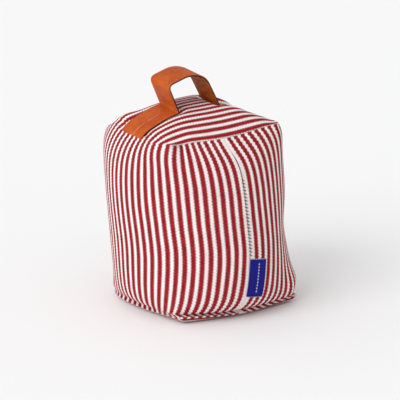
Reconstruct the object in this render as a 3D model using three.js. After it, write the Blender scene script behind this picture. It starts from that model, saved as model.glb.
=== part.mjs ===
// Weighted fabric door stop: a square bag of striped ticking, sewn shut round its filling of sand and
// wadding, with a leather handle strap in its top seams and a small woven label in its upright seam.
// Millimetres, +Z up. The origin is the middle of the base, on the floor. +X runs along the strap to
// the right, and the face with the upright seam looks towards -Y.

import * as THREE from 'three';

// The base of the bag
const PANEL_WIDTH = 150;          // side of the square base panel, seam to seam
const BASE_LIFT = 4;              // the base seam above the floor, in the middle of each side
const CORNER_LIFT = 3.5;          // the corners of the base stand this much higher
const CORNER_LIFT_FADE = 10;      // height over which that is evened out
const BASE_EDGE = 14;             // the flat of the base stops this far inside the seam
const BASE_CORNER_ROUNDNESS = 0.35;  // 0 is a square base and 1 a round one
const ROLLED_CORNER = 5 / 8;      // share of the way round to the corner that the belly has rolled over
const ROLLED_CORNER_ROUNDNESS = 0.85;
const ROLLED_CORNER_POWER = 4;    // how close to that corner this stays
const LIP_HEIGHT = 5;             // the pinched edge of cloth above the base seam
const CREASE_DEPTH = 3;           // how far the crease over that edge goes in
const CREASE_FADE = 4;            // height over which the crease is filled again

// The sides of the bag
const SEAM_HEIGHT = 200;          // the corners of the top seam above the floor
const BASE_ROUNDING = 14;         // height over which the square bottom swells to a round belly
const TOP_ROUNDING = 23;          // height over which the belly becomes the square top
const SLUMP_LEFT = 3;             // the filling has settled to the left of the base
const SLUMP_FRONT = 7;            // and to the front of it
const LEAN_LEFT = 17;             // the belly leans this much further left on its way up
const LEAN_BACK = 1;              // and this much to the back
const TWIST = 0.1;                // turn of the cloth above the crease, in radians, seam to the left
const TWIST_FADE = 25;            // height over which it turns back

// Where the cloth has slid round the filling: the height above the base seam, the distance along the
// cloth from the upright seam, how far from there the slide reaches, and its length.
const SLIDES = [
  { rise: 75, along: 0, reachUp: 32, reachAlong: 900, by: 3 },
  { rise: 135, along: -35, reachUp: 35, reachAlong: 50, by: 1.6 },
  { rise: 120, along: 40, reachUp: 70, reachAlong: 60, by: 2.2 },
  { rise: 190, along: -100, reachUp: 14, reachAlong: 25, by: -3.4 },
  { rise: 188, along: 8, reachUp: 16, reachAlong: 32, by: -4.5 },
];

// Where the filling has pushed the cloth out or let it fall in: the place, how far from there the
// shift reaches along each axis, and the shift.
const SHIFTS = [
  { at: [68, -61, 84], reach: [30, 30, 28], by: [-4, 2.4, 0] },        // waist of the front right corner
  { at: [74, -66, 24], reach: [22, 22, 16], by: [6, -3.5, 0] },        // its foot, drawn out square
  { at: [-72, 58, 16], reach: [30, 30, 13], by: [-2.5, 1, -2.5] },     // belly over the back left corner
  { at: [-84, 64, 200], reach: [22, 18, 20], by: [2.5, -3, -6] },      // slack back left corner of the top
  { at: [48, -62, 196], reach: [16, 16, 16], by: [2.5, -2, 0] },       // full front right corner of the top
  { at: [-92, -6, 201], reach: [16, 36, 14], by: [0, 0, 3.6] },        // left seam, held up by the strap
  { at: [-80, 29, 205], reach: [16, 13, 14], by: [0, 0, 5] },          // the top, puffed up behind the strap
  { at: [-58, 50, 212], reach: [34, 22, 16], by: [0, 0, -9.5] },       // and slack further back
  { at: [-74, -72, 201], reach: [10, 12, 12], by: [0, 0, -1.5] },      // front left corner of the top
  { at: [38, -36, 212], reach: [18, 20, 10], by: [0, 0, -3.5] },       // the top, by its right corner
];

// The top of the bag
const TOP_SEAM_WIDTH = 135;       // the top seam, drawn in by its gathers
const TOP_CORNER_ROUNDNESS = 0.22;  // 0 is a square top seam and 1 a round one
const GATHER_HEIGHT = 12;         // height over which the gathers draw the side in
const TOP_SLOPE_RIGHT = 0.048;    // the top rises to the right
const TOP_SLOPE_BACK = 0.01;      // and to the back
const TOP_DRAW_POWER = 6;         // how close to the top seam the sides follow those slopes
const EDGE_SAG = 3;               // the middle of each top seam hangs below its corners
const SAG_POWER = 8;              // how close to its seam that sag stays
const DOME_HEIGHT = 21;           // the middle of the top panel above its seams
const DOME_POWER = 2.2;           // how full the top panel is
const DOME_SQUARENESS = 5;        // 2 is a round dome, and more is a squarer one
const STRAP_SINK_LEFT = 3;        // how far the strap has pressed the top panel in on the left
const STRAP_SINK_RIGHT = 5.5;     // and on the right
const SINK_EDGE = 8;              // width over which the panel comes up again beside the strap
const SINK_ROOM = 1;              // the hollow reaches this far beyond the edges of the strap
const SINK_DEPTH = 1.3;           // and is this many times as deep as the strap has sunk

// The handle strap, with its places from the middle of the top panel
const STRAP_WIDTH = 38;
const STRAP_THICKNESS = 2.2;
const STRAP_FORWARD = 3;          // the strap lies this far in front of the middle of the top
const STRAP_SLOPE = 0.08;         // the strap rises to the back
const STRAP_END_INSET = 2.5;      // its ends stop this far inside the seams
const FOOT_SPACING = 50;          // between the two folds where the loop stands up
const FOOT_SHIFT = -1;            // the loop stands this far right of the middle
const LEFT_BEND_OUT = 13;         // the left bend overhangs its foot
const LEFT_BEND_RISE = 30;        // and stands this high above it
const ARCH_IN = 14;               // the crown of the loop, right of the left foot
const ARCH_RISE = 39;
const RIGHT_BEND_IN = 18;         // the right bend, left of the right foot
const RIGHT_BEND_RISE = 34;
const FOOT_FOLD_RADIUS = 2.5;
const LEFT_BEND_RADIUS = 6;
const ARCH_RADIUS = 10;
const RIGHT_BEND_RADIUS = 8;

// The woven label, folded in two and caught in the upright seam
const LABEL_HEIGHT = 41;
const LABEL_WIDTH = 20;
const LABEL_THICKNESS = 1.4;      // both layers of the ribbon
const LABEL_BASE = 24;            // its lower edge above the base seam
const LABEL_DROOP = 0.17;         // how much lower each mm away from the seam hangs

const CLEARANCE = 0.3;            // left between one piece and the next

// How finely the pieces are faceted
const STEPS_ROUND = 88;           // round the bag
const STEPS_UP = 18;              // up its sides
const STEPS_IN = 13;              // from the top seam to the middle
const STEPS_ON_TOP = 7;           // along each flat length of the strap
const STEPS_IN_BEND = 5;          // round each of its bends
const STEPS_ON_LABEL = 6;         // along and across the label

const FULL_TURN = 2 * Math.PI;

const girth = 4 * PANEL_WIDTH;
const sideRise = SEAM_HEIGHT - BASE_LIFT;
const topCentre = new THREE.Vector2(-SLUMP_LEFT - LEAN_LEFT, LEAN_BACK - SLUMP_FRONT);
const topReach = THREE.MathUtils.lerp(
  TOP_SEAM_WIDTH / 2, 4 * TOP_SEAM_WIDTH / FULL_TURN, TOP_CORNER_ROUNDNESS);
const strapY = topCentre.y - STRAP_FORWARD;

// A place on a square, a share of the way round it from the middle of its front side.
function squarePoint(share, width) {
  const fromCorner = (share + 1 / 8) % 1;
  const walked = 4 * fromCorner;
  const face = Math.floor(walked);
  const along = (walked - face - 0.5) * width;
  const point = new THREE.Vector2(along, -width / 2);
  return point.rotateAround(new THREE.Vector2(0, 0), face * FULL_TURN / 4);
}

// The same place once that square of cloth has swollen to a circle of the same girth.
function circlePoint(share, width) {
  const radius = 4 * width / FULL_TURN;
  const angle = FULL_TURN * share - FULL_TURN / 4;
  return new THREE.Vector2(radius * Math.cos(angle), radius * Math.sin(angle));
}

// How far the side has swollen out of the pinched edge at its foot, from 0 to 1.
function swelling(rise) {
  return 1 - Math.exp(-Math.max(rise - LIP_HEIGHT, 0) / BASE_ROUNDING);
}

// 1 at the corner that the belly has rolled over, falling to 0 a quarter of the way round.
function rolled(share) {
  const nearness = Math.max(Math.cos(FULL_TURN * (share - ROLLED_CORNER)), 0);
  return Math.pow(nearness, ROLLED_CORNER_POWER);
}

// How round the bag is at a height above the base seam, from 0, square, to 1, round.
function roundness(share, rise) {
  const fromTop = 1 - Math.exp((rise - sideRise) / TOP_ROUNDING);
  const atBase = THREE.MathUtils.lerp(BASE_CORNER_ROUNDNESS, ROLLED_CORNER_ROUNDNESS, rolled(share));
  const lower = THREE.MathUtils.lerp(atBase, 1, swelling(rise));
  return lower * THREE.MathUtils.lerp(TOP_CORNER_ROUNDNESS, 1, fromTop);
}

// A share that grows from 0 at the base seam to 1 at the crease, and fades out above it.
function atCrease(rise, fade) {
  return rise < LIP_HEIGHT ? rise / LIP_HEIGHT : Math.exp((LIP_HEIGHT - rise) / fade);
}

// The middle of the bag at a height above the base seam.
function middle(rise) {
  const leaned = rise / sideRise;
  const x = -SLUMP_LEFT * swelling(rise) - LEAN_LEFT * leaned;
  const y = -SLUMP_FRONT * swelling(rise) + LEAN_BACK * leaned;
  return new THREE.Vector2(x, y);
}

// The height of the top seam at a place, without the fullness of the top panel.
function seamLevel(x, y) {
  const across = THREE.MathUtils.clamp((x - topCentre.x) / topReach, -1, 1);
  const deep = THREE.MathUtils.clamp((y - topCentre.y) / topReach, -1, 1);
  const sagAtSides = Math.pow(across, SAG_POWER) * Math.pow(Math.cos(deep * FULL_TURN / 4), 2);
  const sagAtEnds = Math.pow(deep, SAG_POWER) * Math.pow(Math.cos(across * FULL_TURN / 4), 2);
  const slope = TOP_SLOPE_RIGHT * (x - topCentre.x) + TOP_SLOPE_BACK * (y - topCentre.y);
  return SEAM_HEIGHT + slope - EDGE_SAG * (sagAtSides + sagAtEnds);
}

// A place of the cloth once the filling has pushed it out or let it fall in.
function shifted(place) {
  const moved = place.clone();
  for (const { at, reach, by } of SHIFTS) {
    const away = place.clone().sub(new THREE.Vector3(...at)).divide(new THREE.Vector3(...reach));
    moved.addScaledVector(new THREE.Vector3(...by), Math.exp(-away.lengthSq()));
  }
  return moved;
}

// The height of the top panel at a place, without the hollow that the strap presses into it.
function topHeight(x, y) {
  const across = Math.abs(x - topCentre.x) / topReach;
  const deep = Math.abs(y - topCentre.y) / topReach;
  const sum = Math.pow(across, DOME_SQUARENESS) + Math.pow(deep, DOME_SQUARENESS);
  const outward = Math.min(Math.pow(sum, 1 / DOME_SQUARENESS), 1);
  const domed = seamLevel(x, y) + DOME_HEIGHT * (1 - Math.pow(outward, DOME_POWER));
  return shifted(new THREE.Vector3(x, y, domed)).z;
}

// How far the strap has sunk into the top panel at a place along it. The loop between its feet is free.
function strapSink(x) {
  const fromMiddle = x - topCentre.x - FOOT_SHIFT;
  const sink = fromMiddle < 0 ? STRAP_SINK_LEFT : STRAP_SINK_RIGHT;
  const foot = FOOT_SPACING / 2;
  return sink * THREE.MathUtils.smoothstep(Math.abs(fromMiddle), foot - SINK_EDGE, foot);
}

// The height of the top panel at a place, pressed down under the strap and beside it.
function pressedHeight(x, y) {
  const beside = Math.abs(y - strapY) - STRAP_WIDTH / 2 - SINK_ROOM;
  const pressed = 1 - THREE.MathUtils.smoothstep(beside, 0, SINK_EDGE);
  return topHeight(x, y) - SINK_DEPTH * strapSink(x) * pressed;
}

// The share of the way round at which the cloth has come to lie.
function slid(share, rise) {
  const fromSeam = (THREE.MathUtils.euclideanModulo(share + 0.5, 1) - 0.5) * girth;
  let moved = share;
  for (const { rise: level, along, reachUp, reachAlong, by } of SLIDES) {
    const up = (rise - level) / reachUp;
    const out = (fromSeam - along) / reachAlong;
    moved += by / girth * Math.exp(-up * up - out * out);
  }
  return moved;
}

// A place on the side panel, a share of the way round and a height above the base seam.
function sidePoint(shareOfCloth, rise) {
  const share = slid(shareOfCloth, rise);
  const gather = Math.exp((rise - sideRise) / GATHER_HEIGHT);
  const width = THREE.MathUtils.lerp(PANEL_WIDTH, TOP_SEAM_WIDTH, gather);
  const flat = squarePoint(share, width).lerp(circlePoint(share, width), roundness(share, rise));
  flat.setLength(flat.length() - CREASE_DEPTH * atCrease(rise, CREASE_FADE));
  flat.rotateAround(new THREE.Vector2(0, 0), -TWIST * atCrease(rise, TWIST_FADE));
  flat.add(middle(rise));
  const nearCorner = (1 - Math.cos(4 * FULL_TURN * share)) / 2;
  const cornerLift = CORNER_LIFT * nearCorner * (1 - rolled(share)) * Math.exp(-rise / CORNER_LIFT_FADE);
  const drawnByTop = Math.pow(rise / sideRise, TOP_DRAW_POWER);
  const topLift = drawnByTop * (seamLevel(flat.x, flat.y) - SEAM_HEIGHT);
  return shifted(new THREE.Vector3(flat.x, flat.y, BASE_LIFT + rise + cornerLift + topLift));
}

// A ring of places round the side panel at one height.
function sideRing(rise) {
  return Array.from({ length: STEPS_ROUND }, (_, step) => sidePoint(step / STEPS_ROUND, rise));
}

// A ring of places on the top panel, a share of the way from its middle to its seam.
function topRing(share) {
  return sideRing(sideRise).map((seam) => {
    const x = THREE.MathUtils.lerp(topCentre.x, seam.x, share);
    const y = THREE.MathUtils.lerp(topCentre.y, seam.y, share);
    return new THREE.Vector3(x, y, pressedHeight(x, y));
  });
}

// The flat of the base, just inside the base seam.
function baseRing() {
  const shrink = 1 - 2 * BASE_EDGE / PANEL_WIDTH;
  return sideRing(0).map((seam) => new THREE.Vector3(seam.x * shrink, seam.y * shrink, 0));
}

// A closed skin over rings of places, each as long as the next, with a point at either end.
function closedOverRings(start, rings, end) {
  const around = rings[0].length;
  const places = [start, ...rings.flat(), end];
  const last = places.length - 1;
  const faces = [];
  for (let step = 0; step < around; step += 1) {
    const next = (step + 1) % around;
    faces.push(0, 1 + next, 1 + step);
    for (let ring = 0; ring < rings.length - 1; ring += 1) {
      const below = 1 + ring * around;
      const above = below + around;
      faces.push(below + step, below + next, above + next);
      faces.push(below + step, above + next, above + step);
    }
    const top = 1 + (rings.length - 1) * around;
    faces.push(last, top + step, top + next);
  }
  const geometry = new THREE.BufferGeometry().setFromPoints(places);
  geometry.setIndex(faces);
  geometry.computeVertexNormals();
  return geometry;
}

function bagGeometry() {
  const rings = [baseRing(), sideRing(0), sideRing(LIP_HEIGHT / 2), sideRing(LIP_HEIGHT)];
  for (let step = 1; step <= STEPS_UP; step += 1) {
    const share = (1 - Math.cos(Math.PI * step / STEPS_UP)) / 2;
    rings.push(sideRing(THREE.MathUtils.lerp(LIP_HEIGHT, sideRise, share)));
  }
  for (let step = 1; step < STEPS_IN; step += 1) {
    const share = Math.sin(FULL_TURN / 4 * (1 - step / STEPS_IN));
    rings.push(topRing(share));
  }
  const crown = new THREE.Vector3(topCentre.x, topCentre.y, pressedHeight(topCentre.x, topCentre.y));
  return closedOverRings(new THREE.Vector3(0, 0, 0), rings, crown);
}

// A closed slab between a lower and an upper sheet, each a list of rows of places.
function closedSlab(lower, upper) {
  const rings = lower.map((row, index) => [...row, ...upper[index].slice().reverse()]);
  const around = rings[0].length;
  const places = rings.flat();
  const faces = [];
  for (let ring = 0; ring < rings.length - 1; ring += 1) {
    for (let step = 0; step < around; step += 1) {
      const next = (step + 1) % around;
      const here = ring * around;
      const ahead = here + around;
      faces.push(here + step, here + next, ahead + next);
      faces.push(here + step, ahead + next, ahead + step);
    }
  }
  const lastRing = (rings.length - 1) * around;
  for (let step = 0; step < lower[0].length - 1; step += 1) {
    const opposite = around - 1 - step;
    faces.push(step, opposite, opposite - 1);
    faces.push(step, opposite - 1, step + 1);
    faces.push(lastRing + step, lastRing + opposite - 1, lastRing + opposite);
    faces.push(lastRing + step, lastRing + step + 1, lastRing + opposite - 1);
  }
  const geometry = new THREE.BufferGeometry().setFromPoints(places);
  geometry.setIndex(faces);
  geometry.computeVertexNormals();
  return geometry;
}

// The height of the strap's underside where it lies on the top panel, on the strap's middle line.
function topUnderStrap(x) {
  let highest = -Infinity;
  for (const out of [-STRAP_WIDTH / 2, -STRAP_WIDTH / 4, 0, STRAP_WIDTH / 4, STRAP_WIDTH / 2]) {
    highest = Math.max(highest, topHeight(x, strapY + out) - STRAP_SLOPE * out);
  }
  return highest - strapSink(x);
}

// A place on the strap's middle line, seen from the front, where it lies on the top panel.
function onTop(x) {
  const panel = new THREE.Vector2(x, topUnderStrap(x));
  const along = new THREE.Vector2(x + 1, topUnderStrap(x + 1)).sub(panel);
  const above = new THREE.Vector2(-along.y, along.x).setLength(CLEARANCE + STRAP_THICKNESS / 2);
  return panel.add(above);
}

// The strap seen from the front: x and height along its middle line, from the left seam to the right.
function strapLine() {
  const leftFoot = topCentre.x + FOOT_SHIFT - FOOT_SPACING / 2;
  const rightFoot = leftFoot + FOOT_SPACING;
  const leftEnd = topCentre.x - topReach + STRAP_END_INSET;
  const rightEnd = topCentre.x + topReach - STRAP_END_INSET;
  const fromFoot = (foot, across, up) => onTop(foot).add(new THREE.Vector2(across, up));
  const corners = [
    { at: onTop(leftFoot), radius: FOOT_FOLD_RADIUS },
    { at: fromFoot(leftFoot, -LEFT_BEND_OUT, LEFT_BEND_RISE), radius: LEFT_BEND_RADIUS },
    { at: fromFoot(leftFoot, ARCH_IN, ARCH_RISE), radius: ARCH_RADIUS },
    { at: fromFoot(rightFoot, -RIGHT_BEND_IN, RIGHT_BEND_RISE), radius: RIGHT_BEND_RADIUS },
    { at: onTop(rightFoot), radius: FOOT_FOLD_RADIUS },
  ];
  const flatLeft = [];
  const flatRight = [];
  for (let step = 0; step < STEPS_ON_TOP; step += 1) {
    flatLeft.push(onTop(THREE.MathUtils.lerp(leftEnd, leftFoot, step / STEPS_ON_TOP)));
    flatRight.push(onTop(THREE.MathUtils.lerp(rightFoot, rightEnd, (step + 1) / STEPS_ON_TOP)));
  }
  const line = [...flatLeft];
  corners.forEach((corner, index) => {
    const before = index === 0 ? flatLeft.at(-1) : corners[index - 1].at;
    const after = index === corners.length - 1 ? flatRight[0] : corners[index + 1].at;
    line.push(...roundedCorner(before, corner.at, after, corner.radius));
  });
  line.push(...flatRight);
  return line;
}

// The places along a corner between two straight lengths, once it is bent round. The bend starts no
// further from the corner than halfway along the shorter length.
function roundedCorner(before, corner, after, radius) {
  const halfShorter = Math.min(before.distanceTo(corner), after.distanceTo(corner)) / 2;
  const reach = Math.min(radius, halfShorter);
  const inward = before.clone().sub(corner).setLength(reach).add(corner);
  const outward = after.clone().sub(corner).setLength(reach).add(corner);
  return new THREE.QuadraticBezierCurve(inward, corner, outward).getPoints(STEPS_IN_BEND);
}

function strapGeometry() {
  const line = strapLine();
  const lower = [];
  const upper = [];
  line.forEach((place, index) => {
    const before = line[Math.max(index - 1, 0)];
    const after = line[Math.min(index + 1, line.length - 1)];
    const along = after.clone().sub(before).normalize();
    const up = new THREE.Vector2(-along.y, along.x).multiplyScalar(STRAP_THICKNESS / 2);
    lower.push(acrossStrap(place.clone().sub(up)));
    upper.push(acrossStrap(place.clone().add(up)));
  });
  return closedSlab(lower, upper);
}

// The two edges of the strap at one place on its line.
function acrossStrap(place) {
  return [-1, 1].map((side) => {
    const out = side * STRAP_WIDTH / 2;
    return new THREE.Vector3(place.x, strapY + out, place.y + STRAP_SLOPE * out);
  });
}

// The direction that the cloth of the side panel faces.
function sideNormal(share, rise) {
  const oneAlong = 1 / girth;
  const here = sidePoint(share, rise);
  const around = sidePoint(share + oneAlong, rise).sub(here);
  const upward = sidePoint(share, rise + 1).sub(here);
  return around.cross(upward).normalize();
}

// The label lies against the side panel, just right of the upright seam.
function labelGeometry() {
  const steps = Array.from({ length: STEPS_ON_LABEL + 1 }, (_, step) => step / STEPS_ON_LABEL);
  const sheet = (offset) => steps.map((up) => steps.map((across) => {
    const rise = LABEL_BASE + LABEL_HEIGHT * up - LABEL_DROOP * LABEL_WIDTH * across;
    const share = (CLEARANCE + LABEL_WIDTH * across) / girth;
    return sidePoint(share, rise).addScaledVector(sideNormal(share, rise), offset);
  }));
  return closedSlab(sheet(CLEARANCE + LABEL_THICKNESS), sheet(CLEARANCE));
}

function namedMesh(name, geometry, color, roughness) {
  const material = new THREE.MeshStandardMaterial({ color, roughness, metalness: 0 });
  const mesh = new THREE.Mesh(geometry, material);
  mesh.name = name;
  return mesh;
}

const doorStop = new THREE.Group();
doorStop.name = 'door_stop';
doorStop.add(namedMesh('filled_bag', bagGeometry(), 0xcf9a95, 0.95));
doorStop.add(namedMesh('handle_strap', strapGeometry(), 0xb4683a, 0.55));
doorStop.add(namedMesh('side_label', labelGeometry(), 0x23237a, 0.8));

export default doorStop;
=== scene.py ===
"""Looks of a weighted fabric door stop: a sewn bag of striped ticking with a leather handle strap.

Sizes are in millimetres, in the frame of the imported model: +Z up, +X to the right along the strap,
and the upright seam on the side that faces -Y. MM turns them into Blender's metres.
"""

import math

import bpy
import numpy as np
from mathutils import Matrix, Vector


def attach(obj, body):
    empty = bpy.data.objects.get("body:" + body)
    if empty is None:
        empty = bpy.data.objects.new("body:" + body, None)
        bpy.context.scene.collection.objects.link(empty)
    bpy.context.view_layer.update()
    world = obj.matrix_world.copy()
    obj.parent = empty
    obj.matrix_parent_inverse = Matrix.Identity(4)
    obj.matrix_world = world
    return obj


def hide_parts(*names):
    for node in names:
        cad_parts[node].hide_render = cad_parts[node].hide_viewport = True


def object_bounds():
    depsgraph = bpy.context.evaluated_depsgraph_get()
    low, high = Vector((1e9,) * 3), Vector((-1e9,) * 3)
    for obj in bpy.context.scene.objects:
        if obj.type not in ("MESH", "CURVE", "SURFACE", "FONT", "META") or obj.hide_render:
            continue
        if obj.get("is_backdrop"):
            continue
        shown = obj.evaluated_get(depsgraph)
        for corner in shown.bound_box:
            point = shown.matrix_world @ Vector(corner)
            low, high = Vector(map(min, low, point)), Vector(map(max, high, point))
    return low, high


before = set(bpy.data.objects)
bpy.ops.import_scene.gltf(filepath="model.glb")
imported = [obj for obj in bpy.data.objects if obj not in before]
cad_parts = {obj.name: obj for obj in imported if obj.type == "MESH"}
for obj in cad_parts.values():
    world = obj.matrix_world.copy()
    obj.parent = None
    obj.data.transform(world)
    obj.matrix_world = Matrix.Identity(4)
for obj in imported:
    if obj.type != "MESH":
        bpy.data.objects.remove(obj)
cad_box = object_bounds()

MM = 0.001
FULL_TURN = 2 * math.pi
UP = np.array([0, 0, 1])

# The base of the bag
PANEL_WIDTH = 150             # side of the square base panel, seam to seam
BASE_LIFT = 4                 # the base seam above the floor, in the middle of each side
CORNER_LIFT = 3.5             # the corners of the base stand this much higher
CORNER_LIFT_FADE = 10         # height over which that is evened out
BASE_EDGE = 14                # the flat of the base stops this far inside the seam
BASE_EDGE_POWER = 1.5         # how gently the cloth leaves the floor there
BASE_CORNER_ROUNDNESS = 0.35  # 0 is a square base and 1 a round one
ROLLED_CORNER = 5 / 8         # share of the way round to the corner that the belly has rolled over
ROLLED_CORNER_ROUNDNESS = 0.85
ROLLED_CORNER_POWER = 4       # how close to that corner this stays
LIP_HEIGHT = 5                # the pinched edge of cloth above the base seam
CREASE_DEPTH = 6.5            # how far the crease over that edge goes in
CREASE_FADE = 4               # height over which the crease is filled again
ROLLED_CREASE = 0.9           # share of the crease's depth that is lost at the rolled corner
BELLY_DROOP = 4               # how far the belly hangs down over the crease
DROOP_START = 1.5             # height above the lip over which the belly starts to hang
DROOP_FADE = 20               # and over which that is evened out

# The sides of the bag
SEAM_HEIGHT = 200   # the corners of the top seam above the floor
BASE_ROUNDING = 14  # height over which the square bottom swells to a round belly
TOP_ROUNDING = 23   # height over which the belly becomes the square top
SLUMP_LEFT = 3      # the filling has settled to the left of the base
SLUMP_FRONT = 7     # and to the front of it
LEAN_LEFT = 17      # the belly leans this much further left on its way up
LEAN_BACK = 1       # and this much to the back
TWIST = 0.1         # turn of the cloth above the crease, in radians, seam to the left
TWIST_FADE = 25     # height over which it turns back

# Where the filling has pushed the cloth out or let it fall in: place, how wide, and how far it moved
SHIFTS = (
    ((68, -61, 84), (30, 30, 28), (-4.0, 2.4, 0)),      # waist over the front right corner
    ((74, -66, 24), (22, 22, 16), (6.0, -3.5, 0)),      # the corner under it, drawn out square
    ((-72, 58, 16), (30, 30, 13), (-2.5, 1.0, -2.5)),   # belly rolled over the back left corner
    ((-84, 64, 200), (22, 18, 20), (2.5, -3.0, -6.0)),  # slack back left corner of the top
    ((48, -62, 196), (16, 16, 16), (2.5, -2.0, 0)),     # full front right corner of the top
    ((-92, -6, 201), (16, 36, 14), (0, 0, 3.6)),        # the left seam, held up by the strap's end
    ((-80, 29, 205), (16, 13, 14), (0, 0, 5.0)),        # the top, puffed up behind the strap's left end
    ((-58, 50, 212), (34, 22, 16), (0, 0, -9.5)),       # and slack further back
    ((-74, -72, 201), (10, 12, 12), (0, 0, -1.5)),      # front left corner of the top
    ((38, -36, 212), (18, 20, 10), (0, 0, -3.5)),       # the top, falling to its right corner
)

# Where the cloth has slid round the filling: the height above the base seam, how far up and down the
# slide reaches, the distance from the upright seam, how far along it reaches, and the slide's length
SLIDES = (
    (75, 32, 0, 900, 3.0),
    (135, 35, -35, 50, 1.6),
    (120, 70, 40, 60, 2.2),
    (190, 14, -100, 25, -3.4),
    (188, 16, 8, 32, -4.5),
    (202, 16, 32, 50, -4.0),
    (200, 16, -76, 14, 4.5),
    (200, 16, -32, 18, -2.8),
    (8, 10, 20, 60, -3.5),
)

# Tucks under the front seam: distance from the upright seam, half width, depth and length downwards
TUCKS = (
    (-80, 2.8, 3.5, 12),
    (-71, 3.2, 8.0, 15),
    (-62, 3.4, 10.0, 18),
    (-48, 2.8, 5.0, 12),
    (66, 2.5, 2.4, 16),
    (75, 2.5, 3.2, 18),
)
TUCK_START = 4  # length over which a tuck grows below the seam

# The top of the bag
TOP_SEAM_WIDTH = 135         # the top seam, drawn in by its gathers
TOP_CORNER_ROUNDNESS = 0.22  # 0 is a square top seam and 1 a round one
GATHER_HEIGHT = 12           # height over which the gathers draw the side in
TOP_SLOPE_RIGHT = 0.048      # the top rises to the right
TOP_SLOPE_BACK = 0.01        # and to the back
TOP_DRAW_POWER = 6           # how close to the top seam the sides follow those slopes
EDGE_SAG = 3                 # the middle of each top seam hangs below its corners
SAG_POWER = 8                # how close to its seam that sag stays
DOME_HEIGHT = 21             # the middle of the top panel above its seams
DOME_POWER = 2.2             # how full the top panel is
DOME_SQUARENESS = 5          # 2 is a round dome, and more is a squarer one
SEAM_BLEND = 0.08            # share of the half width over which the panel comes down to its seam
STRAP_SINK_LEFT = 3          # how far the strap has pressed the panel in on the left
STRAP_SINK_RIGHT = 5.5       # and on the right
FAR_SINK = 3                 # and how much further beyond the strap's right foot
SINK_EDGE = 8                # length over which it comes up to where the strap stands free
SINK_BESIDE = 4              # width over which it comes up again beside the strap

# The handle strap, with its places from the middle of the top panel
STRAP_WIDTH = 38
STRAP_THICKNESS = 2.2
STRAP_FORWARD = 3         # the strap lies this far in front of the middle of the top
STRAP_SLOPE = 0.08        # the strap rises to the back
STRAP_END_IN = 0.6        # its ends turn in by this much where they go into the seams
STRAP_END_DIP = 2         # and down by this much
FOOT_SPACING = 50         # between the two folds where the loop stands up
FOOT_SHIFT = -1           # the loop stands this far right of the middle
LEFT_BEND_OUT = 13        # the left bend overhangs its foot
LEFT_BEND_RISE = 30       # and stands this high above it
ARCH_IN = 14              # the crown of the loop, right of the left foot
ARCH_RISE = 39
RIGHT_BEND_IN = 18        # the right bend, left of the right foot
RIGHT_BEND_RISE = 34
FOOT_FOLD_RADIUS = 2.5
LEFT_BEND_RADIUS = 6
ARCH_RADIUS = 10
RIGHT_BEND_RADIUS = 8
PAINTED_EDGE = 0.45       # width of the dark paint at the strap's edges
PAINT_BLUR = 0.15         # and of its soft outer border
FOLD_HIGHLIGHT = 4.5           # painted highlights on two creases across the leather, as lengths along it from its left foot
SECOND_FOLD_HIGHLIGHT = 0.5
SCRATCH_LINE = -3         # and a worn scratch along it, as a distance from its middle
SCRATCH_TO = (-16, -12)   # where that one fades out before the foot
LINE_WIDTH = (0.15, 0.6)  # distances from a line's middle at which it starts to fade and is gone
LINE_STRENGTH = 0.7
UPPER_SIDE = (-0.2, 0.2)  # from the strap's middle, where the inner side's colour goes over

# The woven label
LABEL_HEIGHT = 41
LABEL_WIDTH = 20
LABEL_THICKNESS = 1.4          # both layers of the ribbon
LABEL_BASE = 26                # its lower edge above the base seam
LABEL_DROOP = 0.17             # how much lower each mm away from the seam hangs
LABEL_CAUGHT = 1               # length of the ribbon that goes into the seam
RIBBON_THICKNESS = 0.45
RIBBON_WEFT = 0.55             # pitch of the yarns across the ribbon
RIBBON_WARP = 0.5              # and of those along it
LOZENGE_PITCH = 3.2
LOZENGE_HEIGHT = 2.4
LOZENGE_WIDTH = 2.2
LOZENGE_BORDER = (0.45, 0.55)  # where a lozenge's colour ends, as a share of its size
LOZENGE_MARGIN = 4             # no lozenge stands this close to the label's ends
SELVEDGE = (0.5, 0.2)          # distances from the label's ends between which its pale edge grows

# The cloth and its sewing
STRIPE_REPEAT = 9
STRIPE_WIDTH = 5.2
FIRST_STRIPE = 7.5       # from the upright seam to the middle of the first red stripe
TOP_FIRST_STRIPE = 3.5   # the same from the front seam on the top panel
BASE_FIRST_STRIPE = 2.2  # and on the base panel
TOP_GRAIN_TURN = 0.01    # the top panel is sewn in turned by this angle
RIB_PITCH = 3.39
RIB_SLOPE = 0.92         # fall of a rib of the twill for each unit across
YARN_PITCH = 0.55
TOOTH = 0.5              # how far the ribs push a stripe's edge to either side
STRIPE_WANDER = 1.2      # width within which a stripe wanders
CLOTH_THICKNESS = 0.7
CLEARANCE = 0.3          # left between one piece and the next
SEAM_SLIT = 0.4          # between the two cloths of a seam
SEAM_MARGIN = 1.5        # no red shows this close to the upright seam
TURNED_IN = 3.5          # cloth turned in behind a seam
MEETING_SHARE = 0.12     # of a seam's gap that is left where the turned-in cloths meet
BASE_TUCK = 1.5          # how far behind the side panel's edge the base panel's lies
TOP_SEAM_TILT = 0.75     # rise of the top seam's fold for each unit outwards
BASE_SEAM_TILT = -0.35
STITCH_PITCH = 3.7
STITCH_REACH = 1.2
STITCH_SLANT = -0.5      # rise of a stitch for each unit across
STITCH_PROUD = 0.35      # how far a stitch's middle lies above the cloth, in thread widths
STITCH_DIVE = 0.75       # and how far below that its ends go in
STITCH_DIVE_POWER = 4    # how close to its ends it does
THREAD_DIAMETER = 1.15
ASKEW = (0.1, 0.2, 1.0)  # a direction in which no thread runs

# The upright seam: a dark slit with a wider gape in it. The heights are those between which each
# opens and closes again.
SLIT_OPENS = (60, 70)
SLIT_CLOSES = (174, 186)
GAPE_OPENS = (35, 75)
GAPE_CLOSES = (143, 163)
STITCHES_TO = 158  # the ladder of stitches ends below this height
CLOSED_SEAM_GAP = 0.4
SLIT_GAP = 1.6
OPEN_SEAM_GAP = 2.4

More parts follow.
